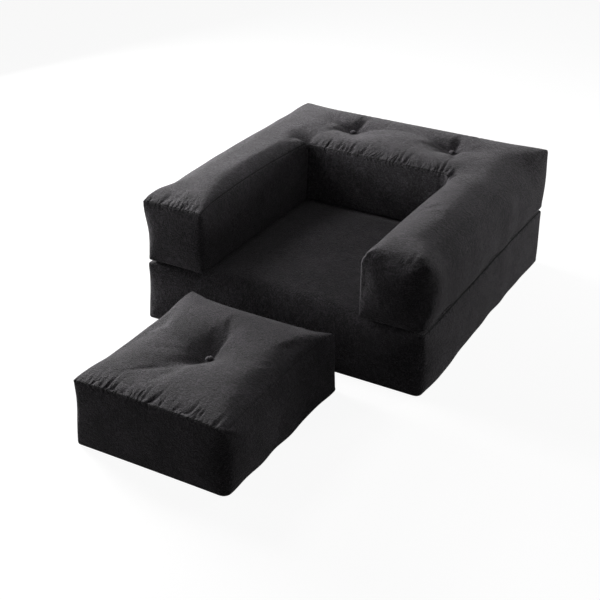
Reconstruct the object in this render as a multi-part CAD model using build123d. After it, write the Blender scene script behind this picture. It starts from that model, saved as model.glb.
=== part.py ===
from build123d import *
import math
import os

os.makedirs("parts", exist_ok=True)

# A floor chair that opens into a single bed. A square mattress carries a U-shaped cushion, the arms and back,
# and a pouf stands in front. Millimetres. The origin is on the floor, under the middle of the chair's
# footprint. The chair faces -Y and +Z is up.

# Chair footprint and the two layers
chair_width = 900
chair_depth = 980
base_height = 197
layer_gap = 3.4
arms_back_extra = 18.6
arm_width = 196
back_depth = 340

# Pouf
pouf_rear_straight = 300
pouf_width = 454
pouf_depth = 564
pouf_height = 212
pouf_gap = 78

# Cloth and foam
cloth = 2
foam_clearance = 0.3

# Edges shared by the three covers: vertical corners, and the roll from a seam to a flat face
corner_round = 12
cavity_round = 22
edge_roll = 10
seam_rise = 9

# Sides drawn in at mid length, at the seams and at mid height, where the foam fills them more
side_draw = 6
side_middle_draw = 2
front_draw = 6
front_middle_draw = 2
arm_front_draw = 4
arm_front_middle_draw = 1.5
cavity_draw = 8
cavity_middle_draw = 3
rear_draw = 16
rear_straight = 560

# Crowns: rise above the top seam, how far in from the seam the crown takes to reach it, and the curve between
# as (share of that way in, share of the rise)
arms_crown = 18
arms_crown_inset = 58
pouf_crown = 24
pouf_crown_inset = 94
crown_round_share = 0.2
crown_shares = ((0.0, 0.0), (0.24, 0.64), (1.0, 1.0))

# Seat crown on the base, between the arms
seat_crown = 17
seat_sink = 6
seat_margin = 5
seat_crown_inset = 120
seat_shares = ((0.0, 0.0), (0.22, 0.68), (1.0, 1.0))

# Tufts: places, how far the button pulls the crown down, and how wide the hollow is
back_button_spacing = 360
back_button_from_cavity = 185
back_tuft_depth = 22
back_tuft_radius = 76
pouf_tuft_depth = 30
pouf_tuft_radius = 118
anchor_recess_depth = 6
anchor_recess_radius = 36
tuft_floor_margin = 1
tuft_lap = 2
tuft_steps = 3
recess_steps = 1

# Covered buttons, their flat anchors and the cord between them
button_radius = 11
button_height = 7
button_rim = 2
button_seat_gap = 0.1
anchor_radius = 11
anchor_height = 3
cord_radius = 1
cord_hole_radius = 1.3

# Zip: tape, chain, slider and pull
zip_length = 520
pouf_zip_length = 270
zip_height = 28
tape_thickness = 1
chain_height = 6
chain_rise = 1.6
stop_length = 4
stop_rise = 0.8
zip_above_seam = 30
zip_clearance = 0.3
slider_length = 12
slider_nose = 7
slider_plate = 1.2
flange = 1.2
bridge_length = 8.4
bridge_width = 2.6
bridge_strap = 1.2
bridge_bend = 0.96
slider_end_margin = 3
pull_bar_radius = 0.9
pull_arm = 1.6
pull_eye_gap = 0.6
pull_eye_length = 7
pull_length = 22
pull_width = 9
pull_hole_radius = 1.6

# Cloth hinge at the rear edge
hinge_length = 540
hinge_cloth = 0.8
hinge_tab = 8
hinge_bead_radius = 1.2
hinge_running_gap = 0.3
hinge_behind = 1

# One overrun serves every cut
overrun = 5

# Levels and places worked out from the sizes above
arms_back_height = base_height + arms_back_extra
arms_back_bottom = base_height + layer_gap
arms_back_top = arms_back_bottom + arms_back_height
half_width = chair_width / 2
half_depth = chair_depth / 2
cavity_half = half_width - arm_width
cavity_back = half_depth - back_depth
pouf_centre_y = -half_depth - pouf_gap - pouf_depth / 2
hinge_y = half_depth + hinge_behind
hinge_z = arms_back_top / 2
back_tuft = (back_tuft_radius, back_tuft_depth, tuft_steps)
pouf_tuft = (pouf_tuft_radius, pouf_tuft_depth, tuft_steps)
anchor_recess = (anchor_recess_radius, anchor_recess_depth, recess_steps)
back_button_y = cavity_back + back_button_from_cavity
chain_top = tape_thickness + chain_rise
slider_top = chain_top + zip_clearance + slider_plate
pull_level = slider_top + zip_clearance + pull_bar_radius


# Outlines in plan. A side is (draw at the seams, draw at mid height, straight middle length). Corners and
# sides run anticlockwise, so the stuffing is on the left of each side.
def chair_outline():
    front, back = -half_depth, half_depth
    corners = [(-half_width, front), (half_width, front), (half_width, back), (-half_width, back)]
    sides = [
        (front_draw, front_middle_draw, 0),
        (side_draw, side_middle_draw, 0),
        (rear_draw, rear_draw, rear_straight),
        (side_draw, side_middle_draw, 0),
    ]
    return corners, sides


def arms_back_outline():
    front, back = -half_depth, half_depth
    corners = [
        (-half_width, front),
        (-cavity_half, front),
        (-cavity_half, cavity_back),
        (cavity_half, cavity_back),
        (cavity_half, front),
        (half_width, front),
        (half_width, back),
        (-half_width, back),
    ]
    arm_front = (arm_front_draw, arm_front_middle_draw, 0)
    cavity_side = (cavity_draw, cavity_middle_draw, 0)
    outer_side = (side_draw, side_middle_draw, 0)
    rear = (rear_draw, rear_draw, rear_straight)
    sides = [arm_front, cavity_side, cavity_side, cavity_side, arm_front, outer_side, rear, outer_side]
    return corners, sides


def pouf_outline():
    front = pouf_centre_y - pouf_depth / 2
    back = pouf_centre_y + pouf_depth / 2
    half = pouf_width / 2
    corners = [(-half, front), (half, front), (half, back), (-half, back)]
    plain = (front_draw, front_middle_draw, 0)
    sides = [plain, plain, (rear_draw, rear_draw, pouf_rear_straight), plain]
    return corners, sides


def side_edges(start, end, draw, straight):
    """One side from corner to corner, bowed inwards by draw, with a straight middle if it has one."""
    if not draw:
        return [Edge.make_line(start, end)]
    along = (end - start).normalized()
    inward = Vector(-along.Y, along.X, 0)
    if not straight:
        return [Edge.make_three_point_arc(start, (start + end) * 0.5 + inward * draw, end)]
    run = ((end - start).length - straight) / 2
    radius = (run**2 + draw**2) / (2 * draw)
    half_turn = math.asin(run / radius) / 2
    back_off = radius * math.sin(half_turn)
    out_off = radius * (1 - math.cos(half_turn))
    first = start + along * run + inward * draw
    second = end - along * run + inward * draw
    first_middle = first - along * back_off - inward * out_off
    second_middle = second + along * back_off - inward * out_off
    return [
        Edge.make_three_point_arc(start, first_middle, first),
        Edge.make_line(first, second),
        Edge.make_three_point_arc(second, second_middle, end),
    ]


def section(outline, level, inset=0, skin=0, fullness=0):
    """The outline as a wire at a level, moved in by inset and skin, with softened corners."""
    corners, sides = outline
    points = [Vector(x, y, level) for x, y in corners]
    count = len(points)
    alongs = [(points[(i + 1) % count] - points[i]).normalized() for i in range(count)]
    inwards = [Vector(-a.Y, a.X, 0) for a in alongs]
    moved = [p + (inwards[i - 1] + inwards[i]) * (inset + skin) for i, p in enumerate(points)]
    rounds = []
    for i in range(count):
        hollow = alongs[i - 1].cross(alongs[i]).Z < 0
        if hollow:
            rounds.append(cavity_round + skin + inset)
        else:
            rounds.append(corner_round - skin + inset * crown_round_share)
    edges = []
    for i in range(count):
        after = (i + 1) % count
        start = moved[i] + alongs[i] * rounds[i]
        end = moved[after] - alongs[i] * rounds[after]
        seam, middle, straight = sides[i]
        draw = seam + (middle - seam) * fullness
        edges += side_edges(start, end, draw, straight and straight - 2 * inset)
        leave = moved[after] + alongs[after] * rounds[after]
        hub = moved[after] + (alongs[after] - alongs[i]) * rounds[after]
        bend = hub + (moved[after] - hub).normalized() * rounds[after]
        edges.append(Edge.make_three_point_arc(end, bend, leave))
    return Wire(edges)


def bottom_part(outline, floor, skin):
    """From the flat bottom up to the bottom seam."""
    wires = [section(outline, floor + skin, edge_roll, skin), section(outline, floor + seam_rise, 0, skin)]
    return Solid.make_loft(wires, ruled=True)


def band_part(outline, low, high, skin):
    """Between the two seams, fuller at mid height."""
    levels = ((low, 0), ((low + high) / 2, 1), (high, 0))
    wires = [section(outline, level, 0, skin, fullness) for level, fullness in levels]
    return Solid.make_loft(wires, ruled=True)


def crown_part(outline, seam, rise, inset, skin):
    """From the top seam up over the rolled edge to the flat of the crown."""
    wires = []
    for inset_share, rise_share in crown_shares:
        wires.append(section(outline, seam + (rise - skin) * rise_share, inset * inset_share, skin))
    return Solid.make_loft(wires, ruled=True)


def rolled_top(outline, seam, skin):
    """From the top seam of the base up to its flat top."""
    top = seam + seam_rise - skin
    wires = [section(outline, seam, 0, skin), section(outline, top, edge_roll, skin)]
    return Solid.make_loft(wires, ruled=True)


def seat_dome(skin):
    """The seat's crown, which the foam pushes up between the arms."""
    half = cavity_half - seat_margin
    front = -half_depth + edge_roll + seat_margin
    back = cavity_back - seat_margin
    corners = [(-half, front), (half, front), (half, back), (-half, back)]
    sides = [(0, 0, 0)] * len(corners)
    low = base_height - seat_sink
    wires = []
    for inset_share, rise_share in seat_shares:
        level = low + (seat_sink + seat_crown - skin) * rise_share
        wires.append(section((corners, sides), level, seat_crown_inset * inset_share, skin))
    return Solid.make_loft(wires, ruled=True)


def bell_points(start, tuft, top, skin):
    """A tuft's section: a flat floor under the button, then up a soft S to the level of the crown."""
    radius, depth, steps = tuft
    floor_radius = button_radius + tuft_floor_margin
    low = top - skin - depth
    points = [(start, low)]
    for step in range(steps + 1):
        share = step / steps
        rise_share = (1 - math.cos(math.pi * share)) / 2
        points.append((floor_radius + (radius - floor_radius) * share, low + depth * rise_share))
    return points


def bell(place, points):
    """A closed section turned about the tuft's middle."""
    return Pos(place[0], place[1], 0) * revolve(Plane.XZ * make_face(Polyline(*points, close=True)), Axis.Z)


def bell_cloth(place, tuft, top):
    """The tuft's cloth, of even thickness, lapped into the flat cloth round it."""
    outside = bell_points(cord_hole_radius, tuft, top, 0)
    inside = bell_points(cord_hole_radius, tuft, top, cloth)
    lap = tuft[0] + tuft_lap
    return bell(place, outside + [(lap, top), (lap, top - cloth)] + inside[::-1])


def disc_hole(place, radius, low, high):
    return Pos(place[0], place[1], (low + high) / 2) * Cylinder(radius, high - low)


def tufted_panel(shell, places, tuft, top):
    """A crowned cloth panel with its hollows."""
    panel = Part() + shell
    for place in places:
        panel -= disc_hole(place, tuft[0], top - overrun, top + overrun)
        panel += bell_cloth(place, tuft, top)
    return panel


def tufted_foam(foam, places, tuft, top):
    """The foam under such a panel, one foam clearance below the cloth."""
    radius, depth, _ = tuft
    skin = cloth + foam_clearance
    for place in places:
        low = top - skin - depth - overrun
        plug = bell_points(0, tuft, top, skin) + [(radius, low), (0, low)]
        foam = foam - disc_hole(place, radius, low, top) + bell(place, plug)
        foam -= disc_hole(place, cord_hole_radius, -overrun, top)
    return foam


def block(low, high):
    """A box from its low corner to its high corner."""
    size = [b - a for a, b in zip(low, high)]
    middle = [(a + b) / 2 for a, b in zip(low, high)]
    return Pos(*middle) * Box(*size)


def covered_button(place, seat):
    """A domed button in cloth, with a small flat rim that the twine pulls down on the tuft's floor."""
    dome_height = button_height - button_rim
    bend = (button_radius**2 + dome_height**2) / (2 * dome_height)
    half_turn = math.asin(button_radius / bend) / 2
    shoulder = (bend * math.sin(half_turn), button_height - bend * (1 - math.cos(half_turn)))
    edges = [
        Line((0, 0), (button_radius, 0)),
        Line((button_radius, 0), (button_radius, button_rim)),
        ThreePointArc((button_radius, button_rim), shoulder, (0, button_height)),
        Line((0, button_height), (0, 0)),
    ]
    return Pos(place[0], place[1], seat) * revolve(Plane.XZ * make_face(Curve() + edges), Axis.Z)


def anchor_top(floor):
    return floor + anchor_recess_depth - button_seat_gap


def anchor_button(place, floor):
    """The flat button in the recess of the underside that holds the twine's other end."""
    top = anchor_top(floor)
    disc = Pos(place[0], place[1], top - anchor_height / 2) * Cylinder(anchor_radius, anchor_height)
    return chamfer(disc.edges().group_by(Axis.Z)[0], anchor_height / 3)


def turned_over(place, floor, shape):
    """A tuft's shape drawn at the origin, moved to the underside and turned to open downwards."""
    return Pos(place[0], place[1], floor) * Rot(180, 0, 0) * shape


def button_seat(top, depth):
    """Level of the underside of the button, on the flat floor of its tuft."""
    return top - depth + button_seat_gap


def bottom_panel(outline, floor, anchors):
    """The cloth of the underside, with a shallow recess for each anchor button."""
    panel = bottom_part(outline, floor, 0) - bottom_part(outline, floor, cloth)
    for place in anchors:
        panel -= disc_hole(place, anchor_recess_radius, floor - overrun, floor + overrun)
        panel += turned_over(place, floor, bell_cloth((0, 0), anchor_recess, 0))
    return panel


def foam_foot(foam, floor, anchors):
    """The same recesses in the foam's underside."""
    skin = cloth + foam_clearance
    hollow = bell((0, 0), bell_points(0, anchor_recess, 0, skin) + [(0, -skin)])
    for place in anchors:
        foam -= turned_over(place, floor, hollow)
    return foam


def band_panel(outline, low, high):
    return band_part(outline, low, high, 0) - band_part(outline, low, high, cloth)


def foam_body(outline, floor, seam, crown):
    """Foam from the floor's flat to the crown, one foam clearance inside the cloth."""
    skin = cloth + foam_clearance
    return bottom_part(outline, floor, skin) + band_part(outline, floor + seam_rise, seam, skin) + crown


def write(name, shape):
    export_step(shape, f"parts/{name}.step")


# Base mattress
def make_base():
    outline = chair_outline()
    seam = base_height - seam_rise
    skin = cloth + foam_clearance
    outside = rolled_top(outline, seam, 0) + seat_dome(0)
    inside = rolled_top(outline, seam, cloth) + seat_dome(cloth)
    write("base_top_panel", outside - inside)
    write("base_side_band", band_panel(outline, seam_rise, seam))
    write("base_bottom_panel", bottom_panel(outline, 0, []))
    crown = rolled_top(outline, seam, skin) + seat_dome(skin)
    write("base_foam_core", foam_body(outline, 0, seam, crown))


# Arms and back
def make_arms_back():
    outline = arms_back_outline()
    low = arms_back_bottom
    seam = arms_back_top - arms_crown
    top = arms_back_top
    skin = cloth + foam_clearance
    places = [(side * back_button_spacing / 2, back_button_y) for side in (-1, 1)]
    shell = crown_part(outline, seam, arms_crown, arms_crown_inset, 0)
    shell -= crown_part(outline, seam, arms_crown, arms_crown_inset, cloth)
    write("arms_back_top_panel", tufted_panel(shell, places, back_tuft, top))
    write("arms_back_bottom_panel", bottom_panel(outline, low, places))
    make_arms_back_bands(outline, low + seam_rise, seam)
    crown = crown_part(outline, seam, arms_crown, arms_crown_inset, skin)
    foam = tufted_foam(foam_body(outline, low, seam, crown), places, back_tuft, top)
    foam = foam_foot(foam, low, places)
    back_zone = mitred_back_zone(skin)
    arms = (foam - back_zone).solids().sort_by(Axis.X)
    write("left_arm_foam", arms[0])
    write("right_arm_foam", arms[-1])
    write("back_foam", foam & back_zone)
    seat = button_seat(top, back_tuft_depth)
    for name, place in zip(("left", "right"), places):
        write(f"back_button_{name}", covered_button(place, seat))
        write(f"back_anchor_button_{name}", anchor_button(place, low))
        write(f"back_tufting_cord_{name}", tufting_cord(place, anchor_top(low), seat))


def mitred_back_zone(skin):
    """The back's share of the foam, glued to the arms on mitres that start in the cavity's rear corners."""
    corner_x = cavity_half + skin
    corner_y = cavity_back + skin
    inside = cavity_round + skin
    outside = chair_depth
    points = [
        (inside - corner_x, corner_y - inside),
        (corner_x - inside, corner_y - inside),
        (corner_x + outside, corner_y + outside),
        (-corner_x - outside, corner_y + outside),
    ]
    return extrude(make_face(Polyline(*points, close=True)), 2 * arms_back_top)


def make_arms_back_bands(outline, low, high):
    """The inner band lines the seat space. The outer band takes over behind the arm fronts' round corners."""
    band = band_panel(outline, low, high)
    reach = cavity_half + cavity_draw + 2 * cloth
    front = corner_round - half_depth
    inner_zone = block((-reach, front, 0), (reach, cavity_back + cavity_draw + 2 * cloth, 2 * high))
    write("arms_back_inner_band", band & inner_zone)
    write("arms_back_outer_band", band - inner_zone)


def tufting_cord(place, low, high):
    return Pos(place[0], place[1], (low + high) / 2) * Cylinder(cord_radius, high - low)


# Pouf
def make_pouf():
    outline = pouf_outline()
    seam = pouf_height - pouf_crown
    skin = cloth + foam_clearance
    place = (0, pouf_centre_y)
    shell = crown_part(outline, seam, pouf_crown, pouf_crown_inset, 0)
    shell -= crown_part(outline, seam, pouf_crown, pouf_crown_inset, cloth)
    write("pouf_top_panel", tufted_panel(shell, [place], pouf_tuft, pouf_height))
    write("pouf_side_band", band_panel(outline, seam_rise, seam))
    write("pouf_bottom_panel", bottom_panel(outline, 0, [place]))
    crown = crown_part(outline, seam, pouf_crown, pouf_crown_inset, skin)
    foam = tufted_foam(foam_body(outline, 0, seam, crown), [place], pouf_tuft, pouf_height)
    write("pouf_foam_core", foam_foot(foam, 0, [place]))
    seat = button_seat(pouf_height, pouf_tuft_depth)
    write("pouf_button", covered_button(place, seat))
    write("pouf_anchor_button", anchor_button(place, 0))
    write("pouf_tufting_cord", tufting_cord(place, anchor_top(0), seat))


# Zips, one in the straight stretch of each rear band. They are drawn for a band whose face is the plane Y = 0
# and moved to their band.
def make_zip(cover, length, face_y, level):
    move = Pos(0, face_y, level)
    write(f"{cover}_zip", move * zip_tape(length))
    rest_x = length / 2 - stop_length - slider_end_margin - slider_length / 2
    write(f"{cover}_zip_slider", move * Pos(rest_x, 0, 0) * zip_slider())
    write(f"{cover}_zip_pull", move * Pos(rest_x, pull_level, 0) * zip_pull())


def zip_tape(length):
    half = length / 2
    tape = block((-half, 0, -zip_height / 2), (half, tape_thickness, zip_height / 2))
    chain = block((-half, 0, -chain_height / 2), (half, chain_top, chain_height / 2))
    chain = fillet(chain.edges().filter_by(Axis.X).group_by(Axis.Y)[-1], chain_rise / 2)
    stop_top = chain_top + stop_rise
    end = block((half - stop_length, 0, -chain_height / 2), (half, stop_top, chain_height / 2))
    return tape + chain + end + mirror(end, Plane.YZ)


def zip_slider():
    """A plate over the chain with flanges beside it, narrowing to its nose, and a bridge for the pull."""
    half = slider_length / 2
    inner = chain_height / 2 + zip_clearance
    outer = inner + flange
    corners = [(-half, -outer), (half - slider_nose / 2, -outer), (half, -slider_nose / 2)]
    corners += [(half, slider_nose / 2), (half - slider_nose / 2, outer), (-half, outer)]
    low = tape_thickness + zip_clearance
    shape = make_face(Polyline(*corners, close=True))
    body = extrude(Plane((0, low, 0), x_dir=(1, 0, 0), z_dir=(0, 1, 0)) * shape, slider_top - low)
    channel_top = chain_top + zip_clearance
    body -= block((-slider_length, 0, -inner), (slider_length, channel_top, inner))
    foot = slider_top - slider_plate / 2
    strap_low = pull_level + pull_bar_radius + zip_clearance
    bridge_half = bridge_length / 2
    bridge_side = bridge_width / 2
    bridge_top = strap_low + bridge_strap
    bridge = block((-bridge_half, foot, -bridge_side), (bridge_half, bridge_top, bridge_side))
    opening_half = bridge_half - bridge_strap
    bridge -= block((-opening_half, slider_top, -bridge_width), (opening_half, strap_low, bridge_width))
    bridge = fillet(bridge.edges().filter_by(Axis.Z).group_by(Axis.Y)[-1], bridge_bend)
    return body + bridge


def zip_pull():
    """A tab whose eye has its bar under the slider's bridge. The bar's middle is the origin."""
    arm_in = bridge_width / 2 + pull_eye_gap
    arm_out = arm_in + pull_arm
    bar = Cylinder(pull_bar_radius, 2 * arm_out)
    tab_end = pull_length - pull_width / 2
    thick = pull_bar_radius
    tab = block((-tab_end, -thick, -pull_width / 2), (-pull_eye_length, thick, pull_width / 2))
    tab += Pos(-tab_end, 0, 0) * Rot(90, 0, 0) * Cylinder(pull_width / 2, 2 * thick)
    tab -= Pos(-tab_end, 0, 0) * Rot(90, 0, 0) * Cylinder(pull_hole_radius, 4 * thick)
    for side in (-1, 1):
        low, high = sorted((side * arm_in, side * arm_out))
        tab += block((-pull_eye_length, -thick, low), (0, thick, high))
    return tab + bar


# Cloth hinge. The base's leaf rises from a tab on the rear band to a bead on the fold line, and the leaf of
# the arms and back comes down to the same line.
def make_hinge():
    face_y = half_depth - rear_draw
    seam = base_height - seam_rise
    lower = [
        (face_y, seam - hinge_tab),
        (face_y + hinge_cloth, seam - hinge_tab),
        (face_y + hinge_cloth, seam - hinge_cloth),
        (hinge_y + hinge_cloth / 2, hinge_z),
        (hinge_y - hinge_cloth / 2, hinge_z),
        (face_y, seam),
    ]
    bead = Pos(0, hinge_y, hinge_z) * Rot(0, 90, 0) * Cylinder(hinge_bead_radius, hinge_length)
    write("hinge_leaf_lower", hinge_leaf(lower) + bead)
    upper_seam = arms_back_bottom + seam_rise
    upper = [
        (face_y, upper_seam + hinge_tab),
        (face_y + hinge_cloth, upper_seam + hinge_tab),
        (face_y + hinge_cloth, upper_seam + hinge_cloth),
        (hinge_y, hinge_z + hinge_cloth / 2),
        (hinge_y, hinge_z - hinge_cloth / 2),
        (face_y, upper_seam),
    ]
    sleeve = Pos(0, hinge_y, hinge_z) * Rot(0, 90, 0)
    sleeve *= Cylinder(hinge_bead_radius + hinge_running_gap, hinge_length + overrun)
    write("hinge_leaf_upper", hinge_leaf(upper) - sleeve)


def hinge_leaf(points):
    face = make_face(Plane.YZ * Polyline(*points, close=True))
    return extrude(face, hinge_length / 2, both=True)


make_base()
make_arms_back()
make_pouf()
make_hinge()
make_zip("base", zip_length, half_depth - rear_draw, zip_above_seam + seam_rise)
make_zip("arms_back", zip_length, half_depth - rear_draw, arms_back_bottom + zip_above_seam + seam_rise)
make_zip("pouf", pouf_zip_length, pouf_centre_y + pouf_depth / 2 - rear_draw, zip_above_seam + seam_rise)
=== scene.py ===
import math

import bpy
import numpy as np
from mathutils import Matrix, Vector


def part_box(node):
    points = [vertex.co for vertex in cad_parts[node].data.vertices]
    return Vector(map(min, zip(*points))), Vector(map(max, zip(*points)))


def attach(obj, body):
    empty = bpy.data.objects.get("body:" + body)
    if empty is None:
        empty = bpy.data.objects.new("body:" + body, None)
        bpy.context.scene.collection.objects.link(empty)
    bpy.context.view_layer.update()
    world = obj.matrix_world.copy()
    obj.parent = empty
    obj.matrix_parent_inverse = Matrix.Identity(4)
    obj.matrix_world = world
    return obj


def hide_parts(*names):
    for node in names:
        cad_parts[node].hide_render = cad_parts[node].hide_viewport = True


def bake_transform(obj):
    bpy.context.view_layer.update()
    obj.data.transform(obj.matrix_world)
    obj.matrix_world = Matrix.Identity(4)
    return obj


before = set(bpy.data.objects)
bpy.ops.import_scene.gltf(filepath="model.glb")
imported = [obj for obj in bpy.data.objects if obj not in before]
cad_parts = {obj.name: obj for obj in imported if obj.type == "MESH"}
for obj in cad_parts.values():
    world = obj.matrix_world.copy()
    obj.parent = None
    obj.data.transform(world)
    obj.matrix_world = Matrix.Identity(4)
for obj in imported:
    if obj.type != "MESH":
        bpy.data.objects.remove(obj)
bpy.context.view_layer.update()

# BASE MATTRESS
# A square floor mattress: a foam block in a sewn cover of microsuede. The cover's band is sewn to a top and a
# bottom panel, and the foam pushes the seat up between the arms that lie on it.
mm = 0.001
touch = 1e-6
tiny = 1e-9
band_low, band_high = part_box("base_side_band")
base_half_width = band_high.x
base_front = band_low.y
base_rear = band_high.y
base_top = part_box("hinge_leaf_lower")[0].z + 17 * mm
cavity_half = 254 * mm
cavity_rear = 150 * mm
seat_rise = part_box("base_top_panel")[1].z - base_top
rear_draw = 16 * mm
rear_run = 165 * mm
draw_fade = 70 * mm


def only(obj):
    """Object mode, with nothing selected but this object."""
    if bpy.context.object and bpy.context.object.mode != "OBJECT":
        bpy.ops.object.mode_set(mode="OBJECT")
    bpy.ops.object.select_all(action="DESELECT")
    if obj:
        bpy.context.view_layer.objects.active = obj
        obj.select_set(True)


def points(obj):
    """The places of a mesh's points, one row each."""
    flat = np.empty(len(obj.data.vertices) * 3)
    obj.data.vertices.foreach_get("co", flat)
    return flat.reshape(-1, 3)


def set_points(obj, places):
    obj.data.vertices.foreach_set("co", np.asarray(places, float).ravel())
    obj.data.update()


def lines(low, high, fine, coarse, edge):
    """Places of the mesh lines between two seams: close together near the seams, wider in the middle."""
    near = np.linspace(0, edge, max(1, round(edge / fine)) + 1)
    middle = np.linspace(low + edge, high - edge, max(1, round((high - low - 2 * edge) / coarse)) + 1)
    return np.concatenate([low + near[:-1], middle, high - near[::-1][1:]])


def sewn_block(name, xs, ys, zs, hollow=None):
    """A closed block with mesh lines at the given places. A flat grid, cut out where the cushion is hollow,
    is drawn up level by level."""
    only(None)
    bpy.ops.mesh.primitive_grid_add(x_subdivisions=len(xs) - 1, y_subdivisions=len(ys) - 1, size=1)
    obj = bpy.context.object
    obj.name = obj.data.name = name
    places = points(obj)
    column = np.round((places[:, 0] + 0.5) * (len(xs) - 1)).astype(int)
    row = np.round((places[:, 1] + 0.5) * (len(ys) - 1)).astype(int)
    set_points(obj, np.stack([xs[column], ys[row], np.full(len(places), zs[0])], 1))
    if hollow:
        bpy.ops.object.mode_set(mode="EDIT")
        bpy.ops.mesh.select_mode(type="FACE")
        bpy.ops.mesh.select_all(action="DESELECT")
        bpy.ops.object.mode_set(mode="OBJECT")
        for face in obj.data.polygons:
            face.select = hollow(face.center)
        bpy.ops.object.mode_set(mode="EDIT")
        bpy.ops.mesh.delete(type="FACE")
    bpy.ops.object.mode_set(mode="EDIT")
    bpy.ops.mesh.select_mode(type="FACE")
    bpy.ops.mesh.select_all(action="SELECT")
    for rise in np.diff(zs):
        bpy.ops.mesh.extrude_region_move(TRANSFORM_OT_translate={"value": (0, 0, float(rise))})
    bpy.ops.mesh.select_all(action="SELECT")
    bpy.ops.mesh.normals_make_consistent(inside=False)
    bpy.ops.object.mode_set(mode="OBJECT")
    return obj


def smooth(value, low, high):
    """0 below the low value, 1 above the high one, and a soft step between them."""
    share = np.clip((value - low) / (high - low), 0, 1)
    return share * share * (3 - 2 * share)


def wobble(value, seed, reach):
    """Smooth seeded unevenness between about -1 and 1 that changes over the given reach."""
    phases = np.random.default_rng(seed).uniform(0, 2 * math.pi, 4)
    total = sum(np.sin(value / reach * turn + phase) for turn, phase in zip(wave_turns, phases))
    return total / wave_height


def along_side(side, x, y):
    """Each point's run along a side, its distance from it, and the side's inward direction."""
    start, end = np.array(side["a"]), np.array(side["b"])
    length = np.linalg.norm(end - start)
    along = (end - start) / length
    inward = np.array([-along[1], along[0]])
    run = (x - start[0]) * along[0] + (y - start[1]) * along[1]
    inside = (x - start[0]) * inward[0] + (y - start[1]) * inward[1]
    kept = np.clip(run, 0, length)
    away = np.hypot(inside, run - kept)
    away[inside < -touch] = far_off
    return kept, away, length, inward


def rounded_edge(first, second):
    """Where a point lies within the rounding of both of two faces, how far each face draws it in, so that the
    square edge between them becomes a quarter circle."""
    both = (first > 0) & (second > 0)
    turn = np.where(both, np.maximum(first, second) / np.maximum(np.hypot(first, second), tiny), 1)
    return np.where(both, first - first * turn, 0), np.where(both, second - second * turn, 0)


def stuff(box, sides, low, high, crown, crown_inset, seed):
    """Turns the plain block's points into the stuffed cover's shape: sides drawn in at the seams and full
    between them, a crown over the sewn edges, rolled edges, soft corners and a slightly uneven outline."""
    x, y, z = box.T
    level = (z - low) / (high - low)
    fullness = 1 - np.abs(2 * level - 1) ** band_curve
    moved = box.copy()
    raised = np.ones(len(box))
    rolled_down = np.zeros(len(box))
    rolled_up = np.zeros(len(box))
    for number, side in enumerate(sides):
        run, away, length, inward = along_side(side, x, y)
        end = np.minimum(run, length - run)
        if "run" in side:
            bow = 1 - (1 - np.clip(end / side["run"], 0, 1)) ** 2
        else:
            bow = 4 * run * (length - run) / length**2
        at_seams = side.get("low", side["draw"]) * (1 - level) + side["draw"] * level
        draw = at_seams + (side["middle"] - at_seams) * fullness
        draw = draw + side.get("wave", 0) * wobble(run, seed + number, wave_reach) * (1 - wave_loss * level)
        shift = draw * bow * np.exp(-((away / draw_fade) ** 2))
        crisp = side.get("crisp", 1.0)
        fall = 1 - (1 - np.clip(away / crown_inset, 0, 1)) ** crown_curve
        raised *= 1 - crisp * (1 - fall)
        at_ends = side["roll"] + (side.get("roll_end", side["roll"]) - side["roll"]) * run / length
        roll = at_ends + (side["roll_middle"] - at_ends) * smooth(end, 0.0, side.get("reach", roll_reach))
        drawn, down = rounded_edge(np.clip(roll - away, 0, None), np.clip(roll - (high - z), 0, None))
        shift += drawn
        rolled_down = np.maximum(rolled_down, down)
        foot = side.get("foot", bottom_roll)
        drawn, up = rounded_edge(np.clip(foot - away, 0, None), np.clip(foot - (z - low), 0, None))
        shift += drawn
        rolled_up = np.maximum(rolled_up, up)
        moved[:, 0] += inward[0] * shift
        moved[:, 1] += inward[1] * shift
    moved[:, 2] += rolled_up - rolled_down - crown * (1 - raised) * level
    for before, after in zip(sides[-1:] + sides[:-1], sides):
        corner = np.array(after["a"])
        first = along_side(before, x, y)[3]
        second = along_side(after, x, y)[3]
        hollow = first[0] * second[1] - first[1] * second[0] < 0
        if hollow:
            reach = after.get("corner", hollow_corner)
            hub = corner - (first + second) * reach
            over_first = (x - hub[0]) * first[0] + (y - hub[1]) * first[1]
            over_second = (x - hub[0]) * second[0] + (y - hub[1]) * second[1]
            near = (over_first > 0) & (over_second > 0)
            span = np.maximum(np.hypot(over_first, over_second), tiny)
            wall = reach * span / np.maximum(np.maximum(over_first, over_second), tiny)
            pull = np.where(near, (reach - wall) * np.exp(-np.clip(span - wall, 0, None) / hollow_fade), 0)
            moved[:, 0] += pull * (first[0] * over_first + second[0] * over_second) / span
            moved[:, 1] += pull * (first[1] * over_first + second[1] * over_second) / span
        else:
            foot = after.get("corner_low", corner_seam)
            at_seams = foot + (after.get("corner_top", corner_seam) - foot) * level
            reach = at_seams + (after.get("corner", corner_middle) - at_seams) * fullness
            from_first = (x - corner[0]) * first[0] + (y - corner[1]) * first[1]
            from_second = (x - corner[0]) * second[0] + (y - corner[1]) * second[1]
            inside = (from_first > -touch) & (from_second > -touch)
            by_first, by_second = rounded_edge(np.where(inside, np.clip(reach - from_first, 0, None), 0),
                                               np.where(inside, np.clip(reach - from_second, 0, None), 0))
            moved[:, 0] += by_first * first[0] + by_second * second[0]
            moved[:, 1] += by_first * first[1] + by_second * second[1]
    return moved


def ease(box, moved, *pulls):
    """Shifts the cloth around each place by a few millimetres, as the cushion in the picture sits."""
    for place, by, reach in pulls:
        share = np.exp(-(((box - np.array(place)) / reach) ** 2).sum(1))
        moved += share[:, None] * np.array(by)
    return moved


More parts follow.
